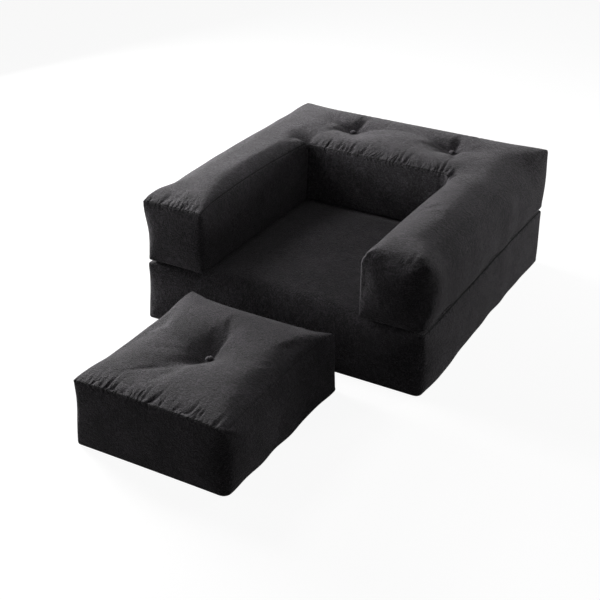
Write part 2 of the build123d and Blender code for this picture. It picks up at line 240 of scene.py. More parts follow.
def keep_pattern(obj, box):
    """Keeps each point's place on the plain block, from which seams and gathers are found again later."""
    layer = obj.data.attributes.new("pattern", "FLOAT_VECTOR", "POINT")
    layer.data.foreach_set("vector", box.astype(np.float32).ravel())


def pattern(obj):
    """Each point's place on the plain block, as keep_pattern left it."""
    flat = np.empty(len(obj.data.vertices) * 3, np.float32)
    obj.data.attributes["pattern"].data.foreach_get("vector", flat)
    return flat.reshape(-1, 3).astype(float)


def group(obj, name, weights):
    """A vertex group with the given weights, in steps of a tenth."""
    made = obj.vertex_groups.new(name=name)
    for weight in np.unique(np.round(weights, 1)):
        if weight > 0:
            chosen = np.nonzero(np.round(weights, 1) == weight)[0]
            made.add([int(i) for i in chosen], float(weight), "REPLACE")


def firm_corners(box, cap, places, reach):
    """The cap on the inflation, lower near the upright edges that stay crisp."""
    for x, y in places:
        near = np.exp(-(((box[:, 0] - x) ** 2 + (box[:, 1] - y) ** 2) / reach**2))
        cap = cap * (1 - firmness * near)
    return cap


def inflate(obj, held, loose, cap, looseness):
    """The cover is blown up like a sewn bag for a few frames. The held points stay, the cloth near its seams
    is cut a little too long so that it puckers, and no point moves farther than the cap."""
    start = points(obj)
    group(obj, "held", held)
    group(obj, "loose", loose)
    only(obj)
    cloth = obj.modifiers.new("Cloth", "CLOTH")
    cloth.settings.quality = 6
    cloth.settings.mass = 0.3
    cloth.settings.tension_stiffness = 20
    cloth.settings.compression_stiffness = 20
    cloth.settings.shear_stiffness = 6
    cloth.settings.bending_stiffness = 0.4
    cloth.settings.use_pressure = True
    cloth.settings.uniform_pressure_force = 4
    cloth.settings.vertex_group_mass = "held"
    cloth.settings.vertex_group_shrink = "loose"
    cloth.settings.shrink_min = 0
    cloth.settings.shrink_max = -looseness
    cloth.settings.effector_weights.gravity = 0
    cloth.collision_settings.use_collision = False
    cloth.collision_settings.use_self_collision = False
    cloth.point_cache.frame_start = 1
    cloth.point_cache.frame_end = blown_frames
    for step in range(1, blown_frames + 1):
        bpy.context.scene.frame_set(step)
    bpy.ops.object.modifier_apply(modifier=cloth.name)
    bpy.context.scene.frame_set(1)
    obj.vertex_groups.clear()
    moved = points(obj) - start
    length = np.linalg.norm(moved, axis=1)
    set_points(obj, start + moved * np.minimum(1, cap / np.maximum(length, tiny))[:, None])


def seam_edges(obj, sides, high):
    """The mesh edges on the crisp seams, those whose seam is 1."""
    box = pattern(obj)
    on_seam = np.zeros(len(box), bool)
    for side in sides:
        if side.get("seam", 0) >= 1:
            on_seam |= (along_side(side, box[:, 0], box[:, 1])[1] < touch) & (box[:, 2] > high - touch)
    ends = np.empty(len(obj.data.edges) * 2, np.int32)
    obj.data.edges.foreach_get("vertices", ends)
    return on_seam[ends.reshape(-1, 2)].all(1)


def subdivide(obj, sides, high):
    """One finer level, with the crisp seams kept sharp."""
    only(obj)
    creased = obj.data.attributes.new("crease_edge", "FLOAT", "EDGE")
    creased.data.foreach_set("value", seam_edges(obj, sides, high).astype(np.float32))
    finer = obj.modifiers.new("Subdivision", "SUBSURF")
    finer.levels = finer.render_levels = 1
    bpy.ops.object.modifier_apply(modifier=finer.name)
    bpy.ops.object.shade_smooth()
    sharp = obj.data.attributes.new("sharp_edge", "BOOLEAN", "EDGE")
    sharp.data.foreach_set("value", seam_edges(obj, sides, high))


def normals(obj):
    flat = np.empty(len(obj.data.vertices) * 3)
    obj.data.vertices.foreach_get("normal", flat)
    return flat.reshape(-1, 3)


def gather(obj, sides, high, seed):
    """Short pleats that run in from the sewn top edges, the seam's groove, and the marks that the cloth's
    material reads: run along the nearest seam, distance from it, how much it is gathered, and how strongly
    painted shade darkens it."""
    box = pattern(obj)
    x, y, z = box.T
    depth = np.zeros(len(box))
    seam_run = np.zeros(len(box))
    seam_away = np.full(len(box), far_off)
    strength = np.zeros(len(box))
    sewn = np.zeros(len(box))
    run_before = 0
    for number, side in enumerate(sides):
        run, away, length, _ = along_side(side, x, y)
        across = np.hypot(away, (high - z) * 2.0)
        end = np.minimum(run, length - run)
        uneven = 0.75 + 0.35 * wobble(run, seed + number, 60 * mm)
        amount = side.get("gathers", 0.0) * smooth(end, 4 * mm, 40 * mm) * uneven
        phase = run / pleat_width + 0.9 * wobble(run + 0.25 * away, seed + 20 + number, 45 * mm)
        nearest = np.round(phase).astype(int)
        chances = np.random.default_rng(seed + 40 + number).uniform(0.15, 1.0, pleat_kinds)
        chance = chances[nearest % pleat_kinds]
        reach = pleat_reach * (0.5 + 1.1 * chance)
        pleat = 1.5 * chance * np.exp(-(((phase - nearest) / pleat_sharpness) ** 2))
        on_top = np.where(z > high - touch, 1.0, pleat_on_band)
        fade = np.exp(-across / reach) * smooth(across, 0, 13 * mm)
        depth += amount * pleat_depth * pleat * on_top * fade
        # The seam's value, with the slit's, deepens the groove and is kept as sewn, the strength of the
        # painted seam shade.
        sunk = side.get("seam", 0.0) + side.get("slit", 0.0)
        groove = sunk * seam_groove * np.exp(-((across / groove_width) ** 2))
        depth += groove * smooth(end, -1 * mm, 6 * mm)
        closer = across < seam_away
        seam_run[closer] = (run_before + run)[closer]
        seam_away[closer] = across[closer]
        strength[closer] = amount[closer]
        sewn[closer] = sunk
        run_before += length
    set_points(obj, points(obj) - normals(obj) * depth[:, None])
    marks = (("seam_run", seam_run), ("seam_away", seam_away), ("gathered", strength), ("sewn", sewn))
    for name, values in marks:
        layer = obj.data.attributes.new(name, "FLOAT", "POINT")
        layer.data.foreach_set("value", values.astype(np.float32))


wave_turns = (1.0, 1.73, 2.61, 3.37)
wave_height = 2.6
wave_reach = 75 * mm
wave_loss = 0.6
far_off = 1.0
band_curve = 1.8
crown_curve = 2.2
roll_reach = 150 * mm
bottom_roll = 8 * mm
corner_seam = 4 * mm
corner_middle = 26 * mm
hollow_corner = 30 * mm
hollow_fade = 40 * mm
firmness = 0.85
blown_frames = 20
pleat_width = 20 * mm
pleat_reach = 26 * mm
pleat_depth = 6 * mm
pleat_sharpness = 0.15
pleat_on_band = 0.35
pleat_kinds = 90
seam_groove = 1.6 * mm
groove_width = 2.4 * mm
slit_held = 13 * mm
seat_slope = 130 * mm
seat_front_slope = 150 * mm
arm_overlap = 4 * mm
held_under_arms = 6 * mm
zip_flat_half = 290 * mm

base_sides = [
    dict(a=(-base_half_width, base_front), b=(base_half_width, base_front), draw=4 * mm, middle=3 * mm,
         low=2 * mm, roll=10 * mm, roll_middle=46 * mm, reach=200 * mm, corner=20 * mm, corner_low=8 * mm),
    # The right side's slit deepens its seam groove and darkens the gap between the cushions with painted
    # shade.
    dict(a=(base_half_width, base_front), b=(base_half_width, base_rear), draw=0, middle=-8 * mm,
         low=-4 * mm, wave=2 * mm, roll=5 * mm, roll_middle=6 * mm, gathers=0.6, seam=0.9, slit=1.4,
         corner=58 * mm, corner_top=26 * mm, corner_low=20 * mm),
    dict(a=(base_half_width, base_rear), b=(-base_half_width, base_rear), draw=rear_draw,
         middle=rear_draw, run=rear_run, roll=8 * mm, roll_middle=8 * mm, seam=0.8),
    dict(a=(-base_half_width, base_rear), b=(-base_half_width, base_front), draw=2 * mm, middle=-8 * mm,
         low=-2 * mm, wave=3 * mm, roll=5 * mm, roll_middle=5 * mm, gathers=0.3, seam=0.8),
]

base_xs = lines(-base_half_width, base_half_width, 7 * mm, 13 * mm, 35 * mm)
base_ys = lines(base_front, base_rear, 7 * mm, 13 * mm, 35 * mm)
base_zs = lines(0, base_top, 6 * mm, 11 * mm, 24 * mm)
base_cover = sewn_block("base_cover", base_xs, base_ys, base_zs)
box = points(base_cover)
keep_pattern(base_cover, box)
shaped = stuff(box, base_sides, 0, base_top, 3 * mm, 40 * mm, 50)
shaped = ease(box, shaped,
              ((-base_half_width, base_front, 30 * mm), (-10 * mm, 0, 0), 130 * mm),
              ((base_half_width, base_front + 150 * mm, 20 * mm), (10 * mm, 0, 0), 130 * mm),
              ((base_half_width, base_rear, 80 * mm), (11 * mm, 0, 0), 120 * mm))
on_top = box[:, 2] > base_top - touch
seat_side = cavity_half - arm_overlap - np.abs(box[:, 0])
seat_back = cavity_rear - arm_overlap - box[:, 1]
seat_front = box[:, 1] - base_front
seat = 1 - (1 - np.clip(seat_side / seat_slope, 0, 1)) ** 3
seat *= 1 - (1 - np.clip(seat_back / seat_slope, 0, 1)) ** 3
seat *= 0.25 + 0.75 * (1 - (1 - np.clip(seat_front / seat_front_slope, 0, 1)) ** 3)
shaped[:, 2] += np.where(on_top, seat_rise * seat, 0)
set_points(base_cover, shaped)
on_floor = box[:, 2] < touch
beside_seat = np.abs(box[:, 0]) > cavity_half - held_under_arms
behind_seat = box[:, 1] > cavity_rear - held_under_arms
under_arms = on_top & (beside_seat | behind_seat)
corner = (np.abs(box[:, 0]) > base_half_width - 4 * mm) & (np.abs(box[:, 1]) > base_rear - 4 * mm)
on_rear = (box[:, 1] > base_rear - touch) & (np.abs(box[:, 0]) < zip_flat_half)
loose = np.exp(-(base_top - box[:, 2]) / (60 * mm)) * np.where(under_arms, 0, 1)
at_slit = box[:, 2] > base_top - slit_held
held = on_floor | under_arms | corner | on_rear | at_slit
inflate(base_cover, held.astype(float), loose, 6 * mm, 0.05)
subdivide(base_cover, base_sides, base_top)
gather(base_cover, base_sides, base_top, 3)


def linear(code):
    """A colour written as sRGB hex, as the linear values that a shader takes."""
    shares = [int(code[i:i + 2], 16) / 255 for i in (1, 3, 5)]
    turned = [s / 12.92 if s <= 0.04045 else ((s + 0.055) / 1.055) ** 2.4 for s in shares]
    return (*turned, 1.0)


def new_material(name):
    """A material, its node tree and its shader."""
    made = bpy.data.materials.new(name)
    made.use_nodes = True
    return made, made.node_tree, made.node_tree.nodes["Principled BSDF"]


def node(tree, kind, links=None, **settings):
    """Adds a node with its settings. A link is a value for a socket, or another node's output."""
    made = tree.nodes.new(kind)
    for key, value in settings.items():
        setattr(made, key, value)
    for key, value in (links or {}).items():
        if isinstance(value, bpy.types.NodeSocket):
            tree.links.new(value, made.inputs[key])
        else:
            made.inputs[key].default_value = value
    return made


def microsuede(name, dark, plain, light):
    """Charcoal microsuede, a short brushed pile on a woven polyester ground. The pile lies this way and that,
    so the cloth is faintly mottled and finely crinkled, and lighter where it is seen edge on. Along the seams
    and in the slit between the cushions it is painted near black and loses its sheen, as painted shade."""
    made, tree, shader = new_material(name)
    place = node(tree, "ShaderNodeTexCoord").outputs["Object"]
    drift = node(tree, "ShaderNodeTexNoise", {"Vector": place, "Scale": 1 / (60 * mm), "Detail": 2.0})
    drifted = node(tree, "ShaderNodeVectorMath", {0: drift.outputs["Color"], 1: (50 * mm,) * 3, 2: place},
                   operation="MULTIPLY_ADD").outputs[0]
    mottle = node(tree, "ShaderNodeTexNoise", {"Vector": place, "Scale": 1 / (80 * mm), "Detail": 4.0,
                                               "Roughness": 0.6, "Distortion": 0.5})
    stretched = node(tree, "ShaderNodeMapping", {"Vector": drifted, "Scale": (0.75, 1.0, 0.85),
                                                 "Rotation": (0.2, 0.0, 0.45)})
    crinkle = node(tree, "ShaderNodeTexNoise", {"Vector": stretched.outputs["Vector"], "Scale": 1 / (8 * mm),
                                                "Detail": 4.0, "Roughness": 0.68, "Distortion": 1.0})
    # The pile's grit is about 0.3 mm and is drawn at 3.6 mm, the finest that the picture shows.
    grit = node(tree, "ShaderNodeTexNoise", {"Vector": place, "Scale": 1 / (3.6 * mm), "Detail": 2.0,
                                             "Roughness": 0.6})
    first = node(tree, "ShaderNodeMath", {0: mottle.outputs["Fac"], 1: 0.2}, operation="MULTIPLY")
    second = node(tree, "ShaderNodeMath", {0: crinkle.outputs["Fac"], 1: 0.4, 2: first.outputs[0]},
                  operation="MULTIPLY_ADD")
    third = node(tree, "ShaderNodeMath", {0: grit.outputs["Fac"], 1: 0.4, 2: second.outputs[0]},
                 operation="MULTIPLY_ADD")
    shades = node(tree, "ShaderNodeValToRGB", {"Fac": third.outputs[0]})
    shades.color_ramp.elements[0].position = 0.41
    shades.color_ramp.elements[0].color = linear(dark)
    shades.color_ramp.elements[1].position = 0.59
    shades.color_ramp.elements[1].color = linear(light)
    shades.color_ramp.elements.new(0.5).color = linear(plain)
    run = node(tree, "ShaderNodeAttribute", attribute_name="seam_run").outputs["Fac"]
    away = node(tree, "ShaderNodeAttribute", attribute_name="seam_away").outputs["Fac"]
    gathered = node(tree, "ShaderNodeAttribute", attribute_name="gathered").outputs["Fac"]
    sewn = node(tree, "ShaderNodeAttribute", attribute_name="sewn").outputs["Fac"]
    # Painted shade in the seam grooves and the slit between the cushions: within a few millimetres of a seam
    # the colour is mixed towards near black, as strongly as the seam's sewn value says.
    seam_shade_falloff = node(tree, "ShaderNodeMapRange", {"Value": away, "From Min": 1.2 * mm, "From Max": 4 * mm,
                                                  "To Min": 0.85, "To Max": 0.0})
    painted_seam_shade = node(tree, "ShaderNodeMath", {0: seam_shade_falloff.outputs["Result"], 1: sewn},
                       operation="MULTIPLY")
    shaded = node(tree, "ShaderNodeMix", data_type="RGBA")
    shade_in = [socket for socket in shaded.inputs if socket.type == "RGBA"]
    tree.links.new(painted_seam_shade.outputs[0], shaded.inputs["Factor"])
    tree.links.new(shades.outputs["Color"], shade_in[0])
    # The near black of the painted seam shade.
    shade_in[1].default_value = linear("#0c0c0c")
    colour = [socket for socket in shaded.outputs if socket.type == "RGBA"][0]
    tree.links.new(colour, shader.inputs["Base Color"])
    # The sheen is taken away where the seam shade is painted, so that the painted shade stays dark.
    pile = node(tree, "ShaderNodeMapRange", {"Value": painted_seam_shade.outputs[0], "To Min": 0.34, "To Max": 0.0})
    tree.links.new(pile.outputs["Result"], shader.inputs["Sheen Weight"])
    # Sharp pleats about 15 mm apart, each of its own length of 12 to 50 mm, run in from a gathered seam.
    flat_place = node(tree, "ShaderNodeCombineXYZ", {"X": run, "Y": away}).outputs["Vector"]
    sway = node(tree, "ShaderNodeTexNoise", {"Vector": flat_place, "Scale": 1 / (38 * mm), "Detail": 1.0})
    swayed = node(tree, "ShaderNodeMath", {0: sway.outputs["Fac"], 1: 3.4}, operation="MULTIPLY")
    turns = node(tree, "ShaderNodeMath", {0: run, 1: 1 / (15 * mm), 2: swayed.outputs[0]},
                 operation="MULTIPLY_ADD").outputs[0]
    number = node(tree, "ShaderNodeMath", {0: turns}, operation="ROUND").outputs[0]
    chance = node(tree, "ShaderNodeTexWhiteNoise", {"W": number}, noise_dimensions="1D").outputs["Value"]
    off_fold = node(tree, "ShaderNodeMath", {0: turns, 1: number}, operation="SUBTRACT").outputs[0]
    from_fold = node(tree, "ShaderNodeMath", {0: off_fold}, operation="ABSOLUTE").outputs[0]
    fold = node(tree, "ShaderNodeMapRange", {"Value": from_fold, "From Min": 0.0, "From Max": 0.34,
                                             "To Min": 0.0, "To Max": 1.0},
                interpolation_type="SMOOTHSTEP").outputs["Result"]
    reach = node(tree, "ShaderNodeMapRange", {"Value": chance, "To Min": 12 * mm, "To Max": 50 * mm})
    spent = node(tree, "ShaderNodeMath", {0: away, 1: reach.outputs["Result"]}, operation="DIVIDE")
    fade = node(tree, "ShaderNodeMapRange", {"Value": spent.outputs[0], "From Min": 0.1, "From Max": 1.0,
                                             "To Min": 1.0, "To Max": 0.0}, interpolation_type="SMOOTHSTEP")
    puckered = node(tree, "ShaderNodeMath", {0: fade.outputs["Result"], 1: gathered}, operation="MULTIPLY")
    deep = node(tree, "ShaderNodeMath", {0: puckered.outputs[0], 1: chance}, operation="MULTIPLY")
    sunk = node(tree, "ShaderNodeMath", {0: fold, 1: 1.0}, operation="SUBTRACT")
    pleat_height = node(tree, "ShaderNodeMath", {0: sunk.outputs[0], 1: deep.outputs[0]},
                        operation="MULTIPLY")
    pleat_bump = node(tree, "ShaderNodeBump", {"Height": pleat_height.outputs[0], "Strength": 1.0,
                                               "Distance": 11.0 * mm})
    creases = node(tree, "ShaderNodeTexNoise", {"Vector": place, "Scale": 1 / (30 * mm), "Detail": 3.0,
                                                "Roughness": 0.5, "Distortion": 0.8})
    crease_bump = node(tree, "ShaderNodeBump", {"Height": creases.outputs["Fac"], "Strength": 0.5,
                                                "Distance": 3.0 * mm, "Normal": pleat_bump.outputs["Normal"]})
    crinkle_bump = node(tree, "ShaderNodeBump", {"Height": crinkle.outputs["Fac"], "Strength": 0.9,
                                                 "Distance": 5.0 * mm,
                                                 "Normal": crease_bump.outputs["Normal"]})
    nap_bump = node(tree, "ShaderNodeBump", {"Height": grit.outputs["Fac"], "Strength": 1.0,
                                             "Distance": 3.5 * mm, "Normal": crinkle_bump.outputs["Normal"]})
    tree.links.new(nap_bump.outputs["Normal"], shader.inputs["Normal"])
    shader.inputs["Roughness"].default_value = 0.86
    shader.inputs["Specular IOR Level"].default_value = 0.2
    shader.inputs["Sheen Roughness"].default_value = 0.42
    shader.inputs["Sheen Tint"].default_value = linear("#d8d4d8")
    return made


suede = microsuede("charcoal_microsuede", "#0f0e10", "#2a282b", "#504c51")


def finish_piece(obj, material, body, nodes=()):
    """Gives a finished piece its material, its body and the CAD nodes that it replaces."""
    obj.data.materials.clear()
    obj.data.materials.append(material)
    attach(obj, body)
    if nodes:
        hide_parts(*nodes)


finish_piece(base_cover, suede, "base",
             ["base_top_panel", "base_side_band", "base_bottom_panel", "base_foam_core"])

# ARMS AND BACK
# One U-shaped cushion, made like the mattress and about as thick, lies on it. Two buttons on twine pull its
# back down, and the cloth folds from them to the edges.
arms_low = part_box("arms_back_bottom_panel")[0].z
arms_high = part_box("arms_back_top_panel")[1].z
button_low, button_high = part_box("back_button_right")
back_button_x = (button_low.x + button_high.x) / 2
back_button_y = (button_low.y + button_high.y) / 2
back_tuft = arms_high - button_low.z + 0.6 * mm
left, right = -base_half_width, base_half_width

arms_sides = [
    dict(a=(left, base_front), b=(-cavity_half, base_front), draw=1 * mm, middle=-6 * mm, low=4 * mm,
         roll=2 * mm, roll_middle=2 * mm, gathers=1.0, seam=1.0, corner=20 * mm, corner_low=8 * mm),
    dict(a=(-cavity_half, base_front), b=(-cavity_half, cavity_rear), draw=18 * mm, middle=-4 * mm,
         low=4 * mm, roll=10 * mm, roll_middle=26 * mm, reach=120 * mm, crisp=0.5, seam=1.0,
         corner=12 * mm, corner_low=10 * mm),
    dict(a=(-cavity_half, cavity_rear), b=(cavity_half, cavity_rear), draw=4 * mm, middle=-6 * mm,
         roll=2 * mm, roll_middle=2 * mm, gathers=1.0, seam=1.0, corner=9 * mm),
    dict(a=(cavity_half, cavity_rear), b=(cavity_half, base_front), draw=-8 * mm, middle=-8 * mm, low=2 * mm,
         roll=36 * mm, roll_middle=38 * mm, reach=120 * mm, crisp=0.1, corner=36 * mm),
    dict(a=(cavity_half, base_front), b=(right, base_front), draw=4 * mm, middle=-6 * mm, low=4 * mm,
         roll=34 * mm, roll_end=36 * mm, roll_middle=50 * mm, reach=80 * mm, crisp=0.5, gathers=0.3,
         seam=0.15, corner=7 * mm, corner_top=9 * mm, corner_low=5 * mm),
    dict(a=(right, base_front), b=(right, base_rear), draw=-6 * mm, middle=-13 * mm, low=0, wave=5 * mm,
         roll=36 * mm, roll_end=9 * mm, roll_middle=96 * mm, reach=170 * mm, crisp=0.2, foot=7 * mm,
         corner=80 * mm, corner_top=50 * mm, corner_low=44 * mm),
    dict(a=(right, base_rear), b=(left, base_rear), draw=rear_draw, middle=rear_draw, run=rear_run,
         roll=8 * mm, roll_middle=12 * mm, crisp=0.15, gathers=0.6, seam=0.6),
    dict(a=(left, base_rear), b=(left, base_front), draw=-18 * mm, middle=-15 * mm, low=5 * mm, wave=3 * mm,
         roll=22 * mm, roll_end=8 * mm, roll_middle=32 * mm, reach=170 * mm, crisp=0.0, foot=5 * mm,
         corner_top=34 * mm),
]


def tuft(x, y, place, depth, radius, floor, lean, folds):
    """How far a button pulls the crown down: a narrow funnel in a bowl that is wider towards one side, and
    folds that run out from it: angle, length, width on the right and on the left, depth, sideways bend."""
    dx, dy = x - place[0], y - place[1]
    toward, amount = lean
    away = np.maximum(np.hypot(dx, dy) - floor, 0)
    wide = radius * (1 + amount * np.cos(np.arctan2(dy, dx) - math.radians(toward)))
    bowl = 0.5 + 0.5 * np.cos(math.pi * np.clip(away / (wide - floor), 0, 1))
    funnel = np.exp(-((away / (wide * 0.27)) ** 1.3))
    total = depth * (0.5 * bowl + 0.5 * funnel)
    for angle, length, right_width, left_width, fold, bend in folds:
        along = dx * math.cos(math.radians(angle)) + dy * math.sin(math.radians(angle))
        across = dy * math.cos(math.radians(angle)) - dx * math.sin(math.radians(angle))
        share = np.clip(along / length, 0, 1)
        across = across - bend * share**2
        fade = smooth(along, -10 * mm, 30 * mm) * (1 - smooth(along, 0.3 * length, length))
        width = np.where(across > 0, left_width, right_width) * (0.45 + 0.9 * share)
        total += fold * fade * np.exp(-((across / width) ** 2))
    return total


back_folds = {
    1: [(92, 150 * mm, 15 * mm, 15 * mm, 11 * mm, 14 * mm), (-60, 150 * mm, 18 * mm, 18 * mm, 9 * mm, 0),
        (4, 170 * mm, 20 * mm, 20 * mm, 7 * mm, 0), (-118, 120 * mm, 22 * mm, 22 * mm, 4 * mm, 0)],
    -1: [(84, 150 * mm, 16 * mm, 16 * mm, 11 * mm, 0), (-128, 150 * mm, 18 * mm, 18 * mm, 7 * mm, 0),
         (168, 140 * mm, 22 * mm, 22 * mm, 6 * mm, 0), (-60, 120 * mm, 22 * mm, 22 * mm, 4 * mm, 0)],
}
valley_depth = 11 * mm
valley_width = 17 * mm
valley_bow = 44 * mm
tuft_floor = 11 * mm
tuft_held = 15 * mm
recess_depth = 7 * mm
anchor_reach = 13 * mm
recess_slope = 24 * mm
pucker_reach = 45 * mm


def recess_under(from_button):
    """The hollow in the underside, in which the flat anchor button lies."""
    slope = np.clip((from_button - anchor_reach) / recess_slope, 0, 1)
    return recess_depth * (0.5 + 0.5 * np.cos(math.pi * slope))


def sew(sides, box, on_top, high, least_seam):
    """The points that the top seams hold, and how loose the gathered cloth near them is."""
    on_seam = np.zeros(len(box), bool)
    loose = np.zeros(len(box))
    for side in sides:
        away = along_side(side, box[:, 0], box[:, 1])[1]
        if side.get("seam", 0) > least_seam:
            on_seam |= on_top & (away < touch)
        near = np.exp(-np.hypot(away, high - box[:, 2]) / pucker_reach)
        loose = np.maximum(loose, near * side.get("gathers", 0))
    return on_seam, loose


arms_xs = np.concatenate([
    lines(left, -cavity_half, 6 * mm, 9 * mm, 24 * mm)[:-1],
    lines(-cavity_half, cavity_half, 6 * mm, 9 * mm, 24 * mm),
    lines(cavity_half, right, 6 * mm, 9 * mm, 24 * mm)[1:],
])
arms_ys = np.concatenate([
    lines(base_front, cavity_rear, 6 * mm, 12 * mm, 24 * mm)[:-1],
    lines(cavity_rear, base_rear, 6 * mm, 9 * mm, 24 * mm),
])
arms_zs = lines(arms_low, arms_high, 6 * mm, 11 * mm, 24 * mm)
arms_cover = sewn_block("arms_back_cover", arms_xs, arms_ys, arms_zs,
                        hollow=lambda c: abs(c.x) < cavity_half and c.y < cavity_rear)
box = points(arms_cover)
keep_pattern(arms_cover, box)
shaped = stuff(box, arms_sides, arms_low, arms_high, 20 * mm, 92 * mm, 60)
shaped = ease(box, shaped,
              ((left, base_front, arms_high - 30 * mm), (-13 * mm, 0, 0), 75 * mm),
              ((right, base_rear, (arms_low + arms_high) / 2), (12 * mm, 0, 0), 100 * mm))
on_top = box[:, 2] > arms_high - touch
on_base = box[:, 2] < arms_low + touch
held = on_base | (box[:, 2] < arms_low + slit_held)
for hand in (-1, 1):
    place = (hand * back_button_x, back_button_y)
    sunk = tuft(box[:, 0], box[:, 1], place, back_tuft, 88 * mm, tuft_floor, (90 + 90 * hand, 0.2),
                back_folds[hand])
    shaped[:, 2] -= np.where(on_top, sunk, 0)
    from_button = np.hypot(box[:, 0] - place[0], box[:, 1] - place[1])
    held |= on_top & (from_button < tuft_held)
    shaped[:, 2] += np.where(on_base, recess_under(from_button), 0)
# One curved valley runs from button to button, behind the hump over the seat space.
between = np.clip(np.abs(box[:, 0]) / back_button_x, 0, 1)
from_valley = box[:, 1] - back_button_y - valley_bow * (1 - between**2)
valley = valley_depth * (0.45 + 0.55 * between**2) * smooth(1 - between, 0, 0.2)
valley = valley * np.exp(-((from_valley / valley_width) ** 2))
shaped[:, 2] -= np.where(on_top & (between < 1), valley, 0)
set_points(arms_cover, shaped)
on_seam, loose = sew(arms_sides, box, on_top, arms_high, 0.5)
held |= on_seam | ((box[:, 1] > base_rear - touch) & (np.abs(box[:, 0]) < zip_flat_half))
caps = firm_corners(box, 8 * mm, [(-cavity_half, base_front), (cavity_half, base_front)], 60 * mm)
inflate(arms_cover, held.astype(float), loose, caps, 0.12)
subdivide(arms_cover, arms_sides, arms_high)
gather(arms_cover, arms_sides, arms_high, 11)
finish_piece(arms_cover, suede, "arms_back",
             ["arms_back_top_panel", "arms_back_outer_band", "arms_back_inner_band", "arms_back_bottom_panel",
              "left_arm_foam", "right_arm_foam", "back_foam"])

# POUF
# A loose rectangular cushion of the same make, with one deep button in the middle of its domed top. Its
# front seam is gathered, and its long edges roll softly over.
pouf_low, pouf_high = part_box("pouf_side_band")
pouf_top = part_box("pouf_top_panel")[1].z
pouf_middle_x = (pouf_low.x + pouf_high.x) / 2
pouf_middle_y = (pouf_low.y + pouf_high.y) / 2
pouf_button_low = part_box("pouf_button")[0].z
pouf_sides = [
    dict(a=(pouf_low.x, pouf_low.y), b=(pouf_high.x, pouf_low.y), draw=1 * mm, middle=-4 * mm, low=1 * mm,
         roll=2 * mm, roll_middle=2 * mm, crisp=0.35, gathers=1.0, seam=1.0, corner=14 * mm,
         corner_low=6 * mm),
    dict(a=(pouf_high.x, pouf_low.y), b=(pouf_high.x, pouf_high.y), draw=4 * mm, middle=-6 * mm, low=-2 * mm,
         wave=4 * mm, roll=17 * mm, roll_middle=44 * mm, reach=130 * mm, crisp=0.4, seam=0.6, corner=60 * mm,
         corner_top=26 * mm, corner_low=24 * mm),
    dict(a=(pouf_high.x, pouf_high.y), b=(pouf_low.x, pouf_high.y), draw=rear_draw, middle=rear_draw,
         run=75 * mm, roll=8 * mm, roll_middle=20 * mm, gathers=0.5, seam=0.5),
    dict(a=(pouf_low.x, pouf_high.y), b=(pouf_low.x, pouf_low.y), draw=-4 * mm, middle=-5 * mm, low=2 * mm,
         wave=2 * mm, roll=6 * mm, roll_middle=24 * mm, reach=160 * mm, crisp=0.1),
]
pouf_folds = [
    (94, 200 * mm, 15 * mm, 60 * mm, 14 * mm, -22 * mm), (165, 240 * mm, 110 * mm, 110 * mm, 6 * mm, 0),
    (-108, 290 * mm, 70 * mm, 24 * mm, 12 * mm, 20 * mm), (-4, 200 * mm, 42 * mm, 42 * mm, 2 * mm, 0),
]
pouf_tuft = pouf_top - pouf_button_low + 0.6 * mm
pouf_zip_flat_half = 160 * mm
pouf_xs = lines(pouf_low.x, pouf_high.x, 5 * mm, 8 * mm, 20 * mm)
pouf_ys = lines(pouf_low.y, pouf_high.y, 5 * mm, 8 * mm, 20 * mm)
pouf_zs = lines(0, pouf_top, 5 * mm, 9 * mm, 20 * mm)
pouf_cover = sewn_block("pouf_cover", pouf_xs, pouf_ys, pouf_zs)
box = points(pouf_cover)
keep_pattern(pouf_cover, box)
shaped = stuff(box, pouf_sides, 0, pouf_top, 24 * mm, 130 * mm, 70)
shaped = ease(box, shaped,
              ((pouf_low.x, pouf_high.y, pouf_top), (-6 * mm, 0, 7 * mm), 110 * mm),
              ((pouf_high.x, pouf_high.y, 70 * mm), (11 * mm, 0, 0), 120 * mm),
              ((pouf_low.x, pouf_low.y, 50 * mm), (-5 * mm, 0, 0), 80 * mm))
on_top = box[:, 2] > pouf_top - touch
on_floor = box[:, 2] < touch
from_button = np.hypot(box[:, 0] - pouf_middle_x, box[:, 1] - pouf_middle_y)
sunk = tuft(box[:, 0], box[:, 1], (pouf_middle_x, pouf_middle_y), pouf_tuft, 120 * mm, tuft_floor,
            (155, 0.3), pouf_folds)
shaped[:, 2] -= np.where(on_top, sunk, 0)
shaped[:, 2] += np.where(on_floor, recess_under(from_button), 0)
set_points(pouf_cover, shaped)
on_seam, loose = sew(pouf_sides, box, on_top, pouf_top, 0.7)
held = on_floor | (on_top & (from_button < tuft_held)) | on_seam
held |= (box[:, 1] > pouf_high.y - touch) & (np.abs(box[:, 0]) < pouf_zip_flat_half)
inflate(pouf_cover, held.astype(float), loose, 7 * mm, 0.12)
subdivide(pouf_cover, pouf_sides, pouf_top)
gather(pouf_cover, pouf_sides, pouf_top, 29)
finish_piece(pouf_cover, suede, "pouf",
             ["pouf_top_panel", "pouf_side_band", "pouf_bottom_panel", "pouf_foam_core"])

# BUTTONS, ANCHORS AND TWINE
# Tin buttons covered with the same suede, pulled down by waxed twine that runs through the foam to a flat
# plastic button on the underside. The cloth is gathered under each button's rim.
# The same suede in lighter shades: painted light on the button domes.
lit_button_suede = microsuede("suede_over_button_painted_light", "#3b393c", "#4c494d", "#625e63")


